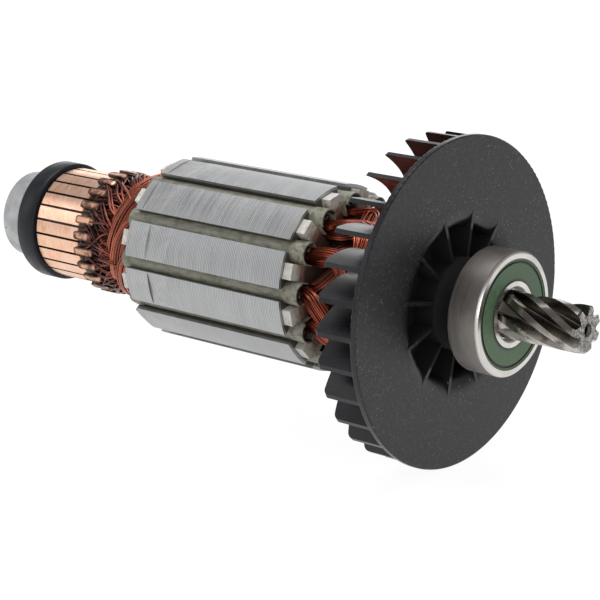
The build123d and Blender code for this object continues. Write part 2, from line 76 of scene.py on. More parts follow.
# Each soft box has its place, its width and height in metres, and its power in watts.
light_target = Vector((-0.05, 0.0, 0.0))
soft_boxes = {
    "top_box": ((-0.10, 0.05, 0.80), 0.6, 0.5, 4.2),
    "left_box": ((-0.75, -0.55, 0.35), 0.35, 0.5, 1.0),
    "right_strip": ((0.60, -0.45, 0.25), 0.15, 0.5, 1.3),
    "back_box": ((-0.55, 0.85, 0.30), 0.9, 0.5, 2.2),
}
for name, (place, width, height, power) in soft_boxes.items():
    light = bpy.data.lights.new(name, "AREA")
    light.shape = "RECTANGLE"
    light.size = width
    light.size_y = height
    light.energy = power
    lamp = bpy.data.objects.new(name, light)
    bpy.context.scene.collection.objects.link(lamp)
    lamp.location = place
    lamp.rotation_euler = (light_target - Vector(place)).to_track_quat("-Z", "Y").to_euler()


class Value:
    """The output of a node, which takes part in arithmetic."""

    def __init__(self, owner, socket):
        self.owner = owner
        self.socket = socket

    def math(self, operation, *others):
        """Adds a Math node on this value and others."""
        inputs = dict(enumerate((self, *others)))
        return self.owner.node("ShaderNodeMath", {"operation": operation}, inputs)

    def __add__(self, other):
        return self.math("ADD", other)

    def __radd__(self, other):
        return self.math("ADD", other)

    def __sub__(self, other):
        return self.math("SUBTRACT", other)

    def __rsub__(self, other):
        return self.owner.node("ShaderNodeMath", {"operation": "SUBTRACT"}, {0: other, 1: self})

    def __mul__(self, other):
        return self.math("MULTIPLY", other)

    def __rmul__(self, other):
        return self.math("MULTIPLY", other)

    def __truediv__(self, other):
        return self.math("DIVIDE", other)

    def __pow__(self, other):
        return self.math("POWER", other)

    def span(self, low, high, first=0.0, last=1.0):
        """Goes smoothly from first to last while this value goes from low to high."""
        inputs = {0: self, 1: low, 2: high, 3: first, 4: last}
        return self.owner.node("ShaderNodeMapRange", {"interpolation_type": "SMOOTHSTEP"}, inputs)

    def random(self):
        """A random value for each whole number."""
        inputs = {1: self.math("FLOOR")}
        return self.owner.node("ShaderNodeTexWhiteNoise", {"noise_dimensions": "1D"}, inputs)


class Nodes:
    """The nodes of the world or of one material."""

    def __init__(self, block):
        block.use_nodes = True
        self.tree = block.node_tree

    def node(self, kind, settings=None, inputs=None, out=0):
        """Adds a node: its settings first, then its inputs by name or place."""
        node = self.tree.nodes.new(kind)
        for key, value in (settings or {}).items():
            setattr(node, key, value)
        for key, value in (inputs or {}).items():
            if isinstance(value, Value):
                self.tree.links.new(value.socket, node.inputs[key])
            elif isinstance(value, tuple) and node.inputs[key].type == "RGBA":
                node.inputs[key].default_value = (*value, 1)
            else:
                node.inputs[key].default_value = value
        return Value(self, node.outputs[out])

    def mix(self, share, first, second):
        """A colour between two."""
        settings = {"data_type": "RGBA", "clamp_factor": True}
        return self.node("ShaderNodeMix", settings, {0: share, 6: first, 7: second}, out=2)


class Surface(Nodes):
    """One material. Places are in millimetres: x along the shaft, radius from it, angle round it."""

    def __init__(self, name, **constants):
        self.material = bpy.data.materials.new(name)
        super().__init__(self.material)
        self.shader = self.tree.nodes["Principled BSDF"]
        for key, value in constants.items():
            self.shader.inputs[key.replace("_", " ")].default_value = value
        metres = self.node("ShaderNodeTexCoord", out="Object")
        self.place = self.node("ShaderNodeVectorMath", {"operation": "SCALE"}, {0: metres, "Scale": 1000.0})
        self.x = self.node("ShaderNodeSeparateXYZ", {}, {0: self.place}, out="X")
        self.y = self.node("ShaderNodeSeparateXYZ", {}, {0: self.place}, out="Y")
        self.z = self.node("ShaderNodeSeparateXYZ", {}, {0: self.place}, out="Z")
        self.radius = (self.y * self.y + self.z * self.z) ** 0.5
        self.angle = self.z.math("ARCTAN2", self.y)

    def noise(self, scale, detail, along=1.0, across=1.0):
        """Cloudy noise, scale times a millimetre, with its steps along the shaft and across it scaled."""
        stretch = {0: self.place, 1: (along, across, across)}
        place = self.node("ShaderNodeVectorMath", {"operation": "MULTIPLY"}, stretch)
        inputs = {"Vector": place, "Scale": scale, "Detail": detail, "Roughness": 0.55}
        return self.node("ShaderNodeTexNoise", {}, inputs)

    def specks(self, scale, size, share):
        """Small round specks: one in some of the cells round scattered points."""
        inputs = {"Vector": self.place, "Scale": scale}
        near = self.node("ShaderNodeTexVoronoi", {}, inputs, out="Distance").span(size, size * 0.5)
        cell_colour = self.node("ShaderNodeTexVoronoi", {}, inputs, out="Color")
        chosen = self.node("ShaderNodeSeparateColor", {}, {0: cell_colour})
        return near * chosen.span(1.0 - share, 1.0 - share + 0.02)

    def paint(self, colour, rough=None, height=None, depth=0.0):
        """Links what varies over the surface. Depth is the relief's, in millimetres."""
        links = {"Base Color": colour, "Roughness": rough}
        if height is not None:
            links["Normal"] = self.node("ShaderNodeBump", {}, {"Height": height, "Distance": depth / 1000})
        for key, value in links.items():
            if value is not None:
                self.tree.links.new(value.socket, self.shader.inputs[key])
        return self.material


world = bpy.data.worlds.new("studio")
bpy.context.scene.world = world
sky = Nodes(world)
sky_seen = sky.node("ShaderNodeLightPath", out="Is Camera Ray")
sky_colour = sky.mix(sky_seen, (0.40, 0.40, 0.41), (1.0, 1.0, 1.0))
background = sky.tree.nodes["Background"]
background.inputs["Strength"].default_value = 1.0
sky.tree.links.new(sky_colour.socket, background.inputs["Color"])

table = Surface("floor", Base_Color=(0.93, 0.93, 0.93, 1), Roughness=0.6, Specular_IOR_Level=0.2)
table_lit = Value(table, table.shader.outputs[0])
table_glow = table.node("ShaderNodeEmission", {}, {"Color": (1.0, 1.0, 1.0), "Strength": 1.1})
table_seen = table.node("ShaderNodeLightPath", out="Is Camera Ray")
table_mirrored = table.node("ShaderNodeLightPath", out="Is Glossy Ray")
table_share = table_seen.math("MAXIMUM", table_mirrored) * 0.85
table_mix = table.node("ShaderNodeMixShader", {}, {0: table_share, 1: table_lit, 2: table_glow})
table.tree.links.new(table_mix.socket, table.tree.nodes["Material Output"].inputs["Surface"])
floor_mesh.materials.append(table.material)

# Shaft and pinion: carbon steel, turned, ground on the seats and hobbed at the front end, then
# hardened. The lower tooth flanks carry a painted highlight and the tooth roots painted shade; the
# tooth ends are sawn and battered.


def dress(material, *names):
    """Gives CAD nodes a material."""
    for name in names:
        mesh = nodes[name].data
        mesh.materials.clear()
        mesh.materials.append(material)


pinion_start = 5.5
pinion_front = 26.95
tooth_root = 3.2
tooth_tip = 5.25
shaft = Surface("shaft_steel", Metallic=1.0)
turned = shaft.noise(1.0, 3, along=9.0, across=0.25)
stains = shaft.noise(0.35, 4)
pinion_zone = shaft.x.span(pinion_start, pinion_start + 2.5)
# Painted shade: the tooth roots are darkened.
root_painted_shade = shaft.radius.span(tooth_root, tooth_root + 1.4, 1.0, 0.0) * pinion_zone
tooth_end = shaft.x.span(pinion_front - 0.2, pinion_front)
tip_wear = shaft.radius.span(tooth_tip - 0.25, tooth_tip) * pinion_zone
end_marks = shaft.noise(2.2, 4)
end_colour = shaft.mix(end_marks.span(0.35, 0.65), (0.16, 0.15, 0.14), (0.52, 0.51, 0.49))
shaft_colour = shaft.mix(turned.span(0.35, 0.65), (0.33, 0.315, 0.295), (0.46, 0.445, 0.42))
flank_colour = shaft.mix(stains.span(0.35, 0.65), (0.17, 0.155, 0.135), (0.105, 0.09, 0.075))
# Painted highlight: the flanks grow lighter towards the bottom of the pinion.
lower_painted_highlight = shaft.z.span(1.5, -3.0)
flank_colour = shaft.mix(lower_painted_highlight * stains.span(0.75, 0.45), flank_colour, (0.52, 0.49, 0.45))
shaft_colour = shaft.mix(pinion_zone, shaft_colour, flank_colour)
shaft_colour = shaft.mix(stains.span(0.5, 0.75) * 0.5, shaft_colour, (0.17, 0.13, 0.10))
shaft_colour = shaft.mix(root_painted_shade * 0.7, shaft_colour, (0.075, 0.065, 0.055))
shaft_colour = shaft.mix(tip_wear * (1.0 - lower_painted_highlight) * 0.5, shaft_colour, (0.26, 0.245, 0.22))
shaft_colour = shaft.mix(tooth_end, shaft_colour, end_colour)
shaft_rough = turned.span(0.3, 0.7, 0.14, 0.26) + tooth_end * 0.3 + root_painted_shade * 0.15
shaft_relief = turned * (1.0 - pinion_zone) + end_marks * tooth_end * 8.0
dress(shaft.paint(shaft_colour, shaft_rough, height=shaft_relief, depth=0.02), "shaft_with_pinion")

# Front bearing: ring faces are ground bright, the outside is ground and has brown handling marks,
# with painted shade on its top and beside the fan and a lighter painted reflection underneath.
# Both seals are green moulded rubber on a steel disc, with a groove near the outer edge.
front_ring_radius = 13.9
ring = Surface("front_ring_steel", Metallic=1.0)
grind = ring.noise(1.0, 3, along=7.0, across=0.2)
handling = ring.noise(0.16, 4)
outside = ring.radius.span(front_ring_radius - 0.3, front_ring_radius)
ring_colour = ring.mix(grind.span(0.3, 0.7), (0.54, 0.52, 0.49), (0.70, 0.68, 0.65))
outside_marks_and_painted_light = ring.mix(handling.span(0.35, 0.7), (0.47, 0.435, 0.40), (0.34, 0.295, 0.25))
# Painted shade: the outside darkens towards the fan.
fan_shade_mask = ring.x.span(6.5, 0.5)
outside_marks_and_painted_light = ring.mix(fan_shade_mask * 0.45, outside_marks_and_painted_light, (0.15, 0.125, 0.105))
outside_marks_and_painted_light = ring.mix(grind.span(0.35, 0.7) * 0.35, outside_marks_and_painted_light, (0.56, 0.53, 0.50))
# Painted shade on the top of the outside and a lighter painted reflection underneath.
outside_marks_and_painted_light = ring.mix(ring.z.span(1.0, 12.0) * 0.8, outside_marks_and_painted_light, (0.13, 0.115, 0.105))
outside_marks_and_painted_light = ring.mix(ring.z.span(-3.0, -10.0) * 0.8, outside_marks_and_painted_light, (0.66, 0.63, 0.60))
ring_colour = ring.mix(outside * 0.9, ring_colour, outside_marks_and_painted_light)
ring_rough = grind.span(0.3, 0.7, 0.2, 0.32) + outside * 0.16
ring_material = ring.paint(ring_colour, ring_rough, height=grind, depth=0.012)
dress(ring_material, "front_bearing_outer_ring", "front_bearing_inner_ring", "front_bearing_balls")

cage = Surface("cage_steel", Metallic=1.0)
cage_noise = cage.noise(0.8, 3)
cage_colour = cage.mix(cage_noise, (0.36, 0.35, 0.32), (0.52, 0.5, 0.47))
cage_material = cage.paint(cage_colour, cage_noise.span(0.3, 0.7, 0.3, 0.5))
dress(cage_material, "front_bearing_cage", "rear_bearing_cage")

groove_inner = 11.25
groove_outer = 12.0
lip_radius = 8.15
seal = Surface("green_seal")
seal_noise = seal.noise(0.9, 4)
# Painted shade: the groove is painted nearly black.
groove_shade = seal.radius.span(groove_inner, groove_inner + 0.2)
groove_shade = groove_shade * seal.radius.span(groove_outer, groove_outer - 0.15)
seal_lip = seal.radius.span(lip_radius, lip_radius - 0.2)
seal_colour = seal.mix(seal_noise.span(0.35, 0.7), (0.060, 0.115, 0.055), (0.090, 0.155, 0.080))
seal_colour = seal.mix(groove_shade, seal_colour, (0.02, 0.028, 0.022))
seal_colour = seal.mix(seal_lip * 0.8, seal_colour, (0.035, 0.055, 0.038))
seal_rough = seal_noise.span(0.3, 0.7, 0.42, 0.6)
seal_material = seal.paint(seal_colour, seal_rough, height=seal.noise(5.0, 2), depth=0.02)
dress(seal_material, "front_bearing_front_seal", "front_bearing_rear_seal")

# Cooling fan: one black nylon moulding. Its broad face is matt and grey with fine dust, the blade
# edges are polished by the air and the mould, and a few pale specks stick to it.
fan_front = -6.05
dish_radius = 17.2
fan = Surface("fan_moulding", Specular_IOR_Level=0.35)
fan_cloud = fan.noise(0.08, 4)
fan_grain = fan.noise(7.0, 2)
fan_dust = fan.noise(1.6, 6)
fan_face = fan.x.span(fan_front - 0.55, fan_front)
shaded_dish = fan.radius.span(dish_radius, dish_radius - 1.0)
fan_patches = fan.noise(0.09, 3).span(0.42, 0.62)
fan_colour = fan.mix(fan_cloud.span(0.35, 0.7), (0.010, 0.0105, 0.0125), (0.016, 0.0165, 0.019))
fan_dusty = fan_dust.span(0.50, 0.85) * (0.12 + 0.26 * fan_face)
fan_colour = fan.mix(fan_dusty, fan_colour, (0.16, 0.16, 0.165))
fan_specks = fan.specks(0.8, 0.20, 0.22) * fan.noise(3.0, 3).span(0.40, 0.50)
fan_specks = fan_specks * (1.0 - shaded_dish) * (0.15 + 0.85 * fan_patches)
fan_colour = fan.mix(fan_specks * (0.25 + 0.55 * fan_face), fan_colour, (0.46, 0.46, 0.45))
fan_fine_specks = fan.specks(2.0, 0.30, 0.12) * (0.05 + 0.45 * fan_patches * fan_face)
fan_colour = fan.mix(fan_fine_specks, fan_colour, (0.34, 0.34, 0.34))
# Painted shade: the dish round the hub is painted nearly black.
fan_colour = fan.mix(shaded_dish * 0.9, fan_colour, (0.004, 0.004, 0.005))
fan_rough = fan_cloud.span(0.3, 0.7, 0.26, 0.34) + fan_face * 0.08 + shaded_dish * 0.5
dress(fan.paint(fan_colour, fan_rough, height=fan_grain, depth=0.015), "cooling_fan")

# Lamination stack: twelve-slot sheets of silicon steel, half a millimetre thick, pressed together,
# turned to size and milled in places to balance the rotor.
sheet_thickness = 0.5
stack_outer = 21.35
patch_front = -74.5
patch_rear = -87.5
stack = Surface("stack_steel", Metallic=1.0)
sheet_number = stack.x / sheet_thickness
sheet_tone = sheet_number.random()
sheet_seam = (sheet_number * 2 * math.pi).math("SINE").span(0.55, 0.95)
stack_outside = stack.radius.span(stack_outer - 0.15, stack_outer)
stack_streaks = stack.noise(0.7, 3, along=5.0, across=0.5)
stack_cloud = stack.noise(0.12, 4)
rust = stack.noise(0.5, 5, along=2.0)
rear_patch = stack.x.span(patch_front, patch_front - 0.5) * stack.x.span(patch_rear, patch_rear + 0.5)
rear_patch = rear_patch * stack.noise(0.35, 2).span(0.45, 0.55)
stack_tone = sheet_tone * 0.45 + stack_streaks * 0.55
stack_colour = stack.mix(stack_tone, (0.38, 0.385, 0.39), (0.58, 0.585, 0.59))
stack_colour = stack.mix(stack_cloud.span(0.35, 0.7) * 0.3, stack_colour, (0.62, 0.62, 0.61))
stack_colour = stack.mix(rear_patch * 0.35, stack_colour, (0.60, 0.60, 0.59))
stack_colour = stack.mix(sheet_seam * 0.75, stack_colour, (0.14, 0.14, 0.14))
stack_colour = stack.mix(rust.span(0.62, 0.8) * 0.25, stack_colour, (0.26, 0.20, 0.14))
stack_colour = stack.mix((1.0 - stack_outside) * 0.75, stack_colour, (0.11, 0.10, 0.085))
stack_rough = sheet_tone * 0.12 + 0.40 + stack_cloud * 0.08
stack_relief = stack_streaks * 0.4 + sheet_tone * 0.6 - sheet_seam * 1.2
dress(stack.paint(stack_colour, stack_rough, height=stack_relief, depth=0.03), "lamination_stack")

# End insulators: one spider of pressed pale fibre on each end of the stack, with copper-brown
# varnish that has crept on to it beside the slots.
fibre = Surface("end_fibre")
fibre_cloud = fibre.noise(0.5, 4)
fibre_stain = fibre.noise(0.7, 4)
fibre_inner = fibre.radius.span(18.9, 17.6)
fibre_shade_under_turns = fibre.radius.span(17.4, 15.6)
fibre_colour = fibre.mix(fibre_cloud.span(0.3, 0.7), (0.60, 0.585, 0.52), (0.76, 0.75, 0.69))
fibre_dirty = fibre_stain.span(0.42, 0.6) * fibre.radius.span(20.4, 19.2)
fibre_soaked = fibre_stain.span(0.55, 0.7) * 0.35 + fibre_dirty * 0.5
fibre_colour = fibre.mix(fibre_soaked, fibre_colour, (0.34, 0.23, 0.15))
fibre_brown = fibre.mix(fibre_stain.span(0.4, 0.6), (0.14, 0.08, 0.05), (0.42, 0.20, 0.12))
fibre_colour = fibre.mix(fibre_inner * 0.85, fibre_colour, fibre_brown)
# Painted shade: nearer the shaft, under the end turns, the fibre is painted nearly black.
fibre_colour = fibre.mix(fibre_shade_under_turns * 0.8, fibre_colour, (0.055, 0.030, 0.020))
fibre_rough = fibre_cloud.span(0.3, 0.7, 0.5, 0.7)
fibre_material = fibre.paint(fibre_colour, fibre_rough, height=fibre.noise(1.6, 4), depth=0.06)
dress(fibre_material, "front_end_insulator", "rear_end_insulator")

# Slot wedges and liners: curved strips of olive vulcanised fibre and folded insulating paper,
# both soaked with varnish, so they are darker in patches and slightly glossy.
slot_count = 12
slot_step = 360.0 / slot_count
slot_angle = -1.0
wedge_centre = 18.0
wedge_inner_square = 6.3
wedge = Surface("wedge_fibre")
wedge_grain = wedge.noise(0.6, 5, along=0.6, across=2.2)
wedge_blots = wedge.noise(0.33, 4)
wedge_ends = wedge.x.span(-41.2, -40.4)
wedge_colour = wedge.mix(wedge_grain.span(0.3, 0.7), (0.165, 0.165, 0.120), (0.285, 0.285, 0.225))
wedge_colour = wedge.mix(wedge_blots.span(0.5, 0.72) * 0.55, wedge_colour, (0.085, 0.082, 0.060))
wedge_colour = wedge.mix(wedge_ends * 0.35, wedge_colour, (0.40, 0.385, 0.31))
wedge_stains = wedge.noise(0.9, 4).span(0.48, 0.62) * wedge.x.span(-42.5, -40.0)
wedge_colour = wedge.mix(wedge_stains * 0.75, wedge_colour, (0.10, 0.075, 0.05))
wedge_turn = wedge.angle + math.radians(180.0 + slot_step / 2 - slot_angle)
wedge_turn = wedge_turn.math("MODULO", math.radians(slot_step)) - math.radians(slot_step / 2)
wedge_across = wedge.radius * wedge_turn.math("SINE")
wedge_up = wedge.radius * wedge_turn.math("COSINE") - wedge_centre
wedge_square = wedge_across * wedge_across + wedge_up * wedge_up
hollow_varnish_and_shade = wedge_square.span(wedge_inner_square, wedge_inner_square - 0.7)
# Inside each wedge's arch: black varnish and painted shade.
wedge_colour = wedge.mix(hollow_varnish_and_shade * 0.95, wedge_colour, (0.014, 0.011, 0.008))
wedge_rough = wedge_grain.span(0.3, 0.7, 0.42, 0.6) - hollow_varnish_and_shade * 0.2
wedge_material = wedge.paint(wedge_colour, wedge_rough, height=wedge_grain, depth=0.05)
dress(wedge_material, "slot_wedges")

paper = Surface("liner_paper", Roughness=0.6)
paper_cloud = paper.noise(0.8, 4)
paper_slot_shade = paper.x.span(-39.6, -40.8)
paper_colour = paper.mix(paper_cloud.span(0.3, 0.7), (0.24, 0.23, 0.17), (0.44, 0.42, 0.34))
# Painted shade: the liners darken where they go into the slots.
paper_colour = paper.mix(paper_slot_shade * 0.9, paper_colour, (0.022, 0.018, 0.014))
dress(paper.paint(paper_colour, height=paper.noise(3.0, 3), depth=0.03), "slot_liners")

# Commutator bars: hard-drawn copper, turned after the hooks were welded down over the wires. The
# brushes left fine rings and orange stains on them; the cut sides are darker, and the hooks are
# darkened by weld burn and by painted shade on their sides, flanks and tips.
bar_count = 24
bar_step = 360.0 / bar_count
bar_angle = 8.06
bar_top = 13.95
hook_start = -113.4
hook_top = 15.25
hook_end = -112.1
copper = Surface("bar_copper", Metallic=1.0)
brush_rings = copper.noise(1.0, 4, along=6.0, across=0.3)
copper_cloud = copper.noise(0.22, 4)
burn = copper.noise(0.6, 4)
track = copper.radius.span(bar_top - 0.15, bar_top)
near_washer = copper.x.span(-121.0, -126.5)
hook_zone = copper.x.span(hook_start, hook_start + 0.8)
copper_colour = copper.mix(brush_rings.span(0.3, 0.7), (0.80, 0.44, 0.28), (0.93, 0.62, 0.46))
copper_colour = copper.mix(copper_cloud.span(0.4, 0.7) * 0.5, copper_colour, (0.95, 0.70, 0.56))
copper_colour = copper.mix(burn.span(0.5, 0.75) * near_washer * 0.7, copper_colour, (0.66, 0.27, 0.09))
copper_colour = copper.mix((1.0 - track) * (1.0 - hook_zone), copper_colour, (0.14, 0.055, 0.03))
hook_turn = copper.angle + math.radians(360.0 + bar_step / 2 - bar_angle)
hook_turn = hook_turn.math("MODULO", math.radians(bar_step)) - math.radians(bar_step / 2)
hook_edge = (copper.radius * hook_turn).math("ABSOLUTE").span(0.45, 0.8)
hook_flank = copper.radius.span(hook_top, hook_top - 0.35)
hook_tip = copper.x.span(hook_end, hook_end - 0.8)
# Weld burn, with painted shade on the hooks' sides, flanks and tips.
hook_burn_and_shade = burn.span(0.46, 0.62) * 0.8 + hook_edge * 0.85 + hook_flank * 0.6 + hook_tip * 0.8
hook_colour = copper.mix(hook_burn_and_shade, (0.66, 0.37, 0.25), (0.060, 0.030, 0.022))
copper_colour = copper.mix(hook_zone * 0.95, copper_colour, hook_colour)
copper_rough = brush_rings.span(0.3, 0.7, 0.26, 0.42) + hook_zone * 0.08
copper_material = copper.paint(copper_colour, copper_rough, height=brush_rings, depth=0.02)
dress(copper_material, *[name for name in nodes if name.startswith("commutator_bar")])

# Commutator hub, its bush and the shaft's sleeve: the hub is brown phenolic resin, moulded under the
# bars round a steel bush. The sleeve that insulates the shaft from the stack is moulded of the same.
resin = Surface("hub_moulding")
resin_cloud = resin.noise(0.6, 4)
resin_colour = resin.mix(resin_cloud.span(0.3, 0.7), (0.035, 0.018, 0.012), (0.085, 0.036, 0.02))
resin_material = resin.paint(resin_colour, resin_cloud.span(0.3, 0.7, 0.4, 0.6))
dress(resin_material, "commutator_hub", "shaft_insulation_sleeve")
dress(cage_material, "commutator_bush")

# Insulation washer: one moulding of black resin between the commutator and the rear bearing, with a
# slightly glossy rim. It stands for the node, with the rim a millimetre smaller, as in the photograph.
washer = Surface("washer_moulding", Specular_IOR_Level=0.3)
washer_cloud = washer.noise(0.35, 4)
washer_colour = washer.mix(washer_cloud.span(0.3, 0.7), (0.005, 0.006, 0.009), (0.012, 0.013, 0.018))
washer_rough = washer_cloud.span(0.3, 0.7, 0.36, 0.5)
washer_material = washer.paint(washer_colour, washer_rough, height=washer.noise(4.0, 3), depth=0.02)
washer_front = -128.4
washer_rear = washer_front - 5.6
washer_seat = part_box("insulation_washer")[0][0] * 1000
washer_bore = 5.03
washer_rim = 15.0
rim_inside = washer_rim - 1.4
groove_floor = washer_rear + 2.6
boss_radius = 7.5
spigot_radius = 5.4
edge = 0.5
edge_middle = 0.15
washer_section = (
    (washer_front, washer_bore),
    (washer_front, washer_rim - edge),
    (washer_front - edge_middle, washer_rim - edge_middle),
    (washer_front - edge, washer_rim),
    (washer_rear + edge, washer_rim),
    (washer_rear + edge_middle, washer_rim - edge_middle),
    (washer_rear, washer_rim - edge),
    (washer_rear, rim_inside),
    (groove_floor, rim_inside),
    (groove_floor, boss_radius),
    (washer_rear, spigot_radius),
    (washer_seat, spigot_radius),
    (washer_seat, washer_bore),
)
washer_steps = 144
washer_points = []
washer_faces = []
for step in range(washer_steps):
    turn = 2 * math.pi * step / washer_steps
    here = step * len(washer_section)
    there = (step + 1) % washer_steps * len(washer_section)
    for number, (x, radius) in enumerate(washer_section):
        washer_points.append((x / 1000, radius * math.cos(turn) / 1000, radius * math.sin(turn) / 1000))
        after = (number + 1) % len(washer_section)
        washer_faces.append((here + number, there + number, there + after, here + after))
washer_mesh = bpy.data.meshes.new("washer")
washer_mesh.from_pydata(washer_points, [], washer_faces)
washer_mesh.shade_smooth()
washer_mesh.set_sharp_from_angle(angle=math.radians(50))
washer_mesh.materials.append(washer_material)
washer_piece = bpy.data.objects.new("washer", washer_mesh)
bpy.context.scene.collection.objects.link(washer_piece)
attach(washer_piece, "rotor")
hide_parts("insulation_washer")

# Rear bearing: the outside of its ring is matt grey from fretting in its cup, with a few dark
# specks; both seals are black rubber.
rear_ring_radius = 10.9
rear_ring = Surface("rear_ring_steel", Metallic=1.0)
rear_cloud = rear_ring.noise(0.3, 5)
rear_outside = rear_ring.radius.span(rear_ring_radius - 0.3, rear_ring_radius)
rear_specks = rear_ring.specks(0.5, 0.16, 0.25) * rear_outside
rear_colour = rear_ring.mix(rear_cloud.span(0.3, 0.7), (0.40, 0.405, 0.41), (0.55, 0.555, 0.56))
rear_colour = rear_ring.mix(rear_specks * 0.8, rear_colour, (0.13, 0.12, 0.11))
rear_rough = rear_outside.span(0.0, 1.0, 0.3, 0.52) + rear_cloud * 0.08
rear_material = rear_ring.paint(rear_colour, rear_rough, height=rear_ring.noise(2.5, 3), depth=0.015)
dress(rear_material, "rear_bearing_outer_ring", "rear_bearing_inner_ring", "rear_bearing_balls")

rubber = Surface("black_seal")
rubber_cloud = rubber.noise(0.8, 3)
rubber_colour = rubber.mix(rubber_cloud, (0.015, 0.015, 0.016), (0.035, 0.034, 0.034))
rubber_material = rubber.paint(rubber_colour, rubber_cloud.span(0.3, 0.7, 0.45, 0.62))
dress(rubber_material, "rear_bearing_front_seal", "rear_bearing_rear_seal")

# Winding: twelve coils of enamelled copper wire. Each strand leaves its slot, runs round the end of
# the stack over the strands below, dips at the nose and returns in the slot five places on.
stack_front = -40.5
stack_rear = -88.5
coil_count = 12
strands_in_coil = 36
wire_radius = 0.19
bundle_radius = 1.2
golden_turn = 2.39996
wander_size = 0.09
twist_most = 0.25
turn_route = np.array((
    (15.9, 0.0, -3.0),
    (15.9, 0.0, 1.0),
    (16.2, 1.2, 2.6),
    (16.9, 9.0, 5.0),
    (16.6, 25.0, 7.2),
    (15.7, 45.0, 9.2),
    (14.6, 64.0, 10.95),
    (12.9, 79.0, 11.9),
    (11.4, 93.0, 10.9),
    (11.1, 112.0, 8.7),
    (11.9, 131.0, 6.3),
    (13.2, 146.0, 4.2),
    (13.8, 149.5, 2.5),
    (13.8, 150.0, 1.0),
    (13.8, 150.0, -3.0),
))


def through(points, steps):
    """A smooth line through points, with the given number of steps between each two."""
    points = np.asarray(points, float)
    ends = np.vstack((2 * points[0] - points[1], points, 2 * points[-1] - points[-2]))
    line = []
    for before, start, end, after in zip(ends, ends[1:], ends[2:], ends[3:]):
        t = np.linspace(0, 1, steps, endpoint=False)[:, None]
        slope_in = (end - before) / 2
        slope_out = (after - start) / 2
        line.append(
            (2 * t**3 - 3 * t**2 + 1) * start
            + (t**3 - 2 * t**2 + t) * slope_in
            + (3 * t**2 - 2 * t**3) * end
            + (t**3 - t**2) * slope_out
        )
    return np.vstack((*line, points[-1:]))


def placed(route, end_x, outwards, turn):
    """Points in millimetres from a route of radius, angle and distance off one end of the stack, with
    outwards as the sign and the scale of that distance."""
    angle = np.radians(route[:, 1] + turn)
    x = end_x + outwards * route[:, 2]
    return np.column_stack((x, route[:, 0] * np.cos(angle), route[:, 0] * np.sin(angle)))


tone_draw = np.random.default_rng(5)


def tubes(name, lines, radius, sides, material):
    """One piece of round tubes along lines of points in millimetres, each with a tone of its own."""
    points = []
    faces = []
    tones = []
    circle = np.linspace(0, 2 * np.pi, sides, endpoint=False)
    for line in lines:
        ahead = np.gradient(line, axis=0)
        ahead /= np.linalg.norm(ahead, axis=1)[:, None]
        side = np.cross(ahead[0], (0.31, 0.74, 0.59))
        side /= np.linalg.norm(side)
        start = len(points)
        tones.extend([tone_draw.random()] * (sides * len(line)))
        for number, (place, way) in enumerate(zip(line, ahead)):
            side = side - way * side.dot(way)
            side /= np.linalg.norm(side)
            other = np.cross(way, side)
            for turn in circle:
                points.append(place + radius * (side * math.cos(turn) + other * math.sin(turn)))
            if number:
                low = start + (number - 1) * sides
                for k in range(sides):
                    after = (k + 1) % sides
                    faces.append((low + k, low + after, low + sides + after, low + sides + k))
        faces.append(tuple(range(start + sides - 1, start - 1, -1)))
        faces.append(tuple(range(len(points) - sides, len(points))))
    mesh = bpy.data.meshes.new(name)
    mesh.from_pydata([tuple(point / 1000) for point in points], [], faces)
    mesh.attributes.new("strand_tone", "FLOAT", "POINT").data.foreach_set("value", tones)
    mesh.shade_smooth()
    mesh.materials.append(material)
    piece = bpy.data.objects.new(name, mesh)
    bpy.context.scene.collection.objects.link(piece)
    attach(piece, "rotor")
    return piece


wire = Surface("coil_wire", Metallic=0.8, Coat_Weight=0.3, Coat_Roughness=0.15)
wire_tone = wire.node("ShaderNodeAttribute", {"attribute_name": "strand_tone"}, out="Fac")
wire_cloud = wire.noise(0.3, 3)
wire_rear = wire.x.span(-60.0, -90.0)
wire_deep_shade = wire.radius.span(14.5, 12.5)
wire_low = wire.mix(wire_rear, (0.24, 0.032, 0.018), (0.22, 0.055, 0.035))
wire_high = wire.mix(wire_rear, (0.62, 0.155, 0.075), (0.56, 0.165, 0.09))
wire_colour = wire.mix(wire_tone, wire_low, wire_high)
wire_colour = wire.mix(wire_cloud.span(0.52, 0.75) * 0.35, wire_colour, (0.12, 0.025, 0.014))
# Painted shade: the strands darken deeper in the winding, towards the shaft.
wire_colour = wire.mix(wire_deep_shade * 0.6, wire_colour, (0.07, 0.022, 0.014))
wire_material = wire.paint(wire_colour, 0.32 - wire_tone * 0.1)

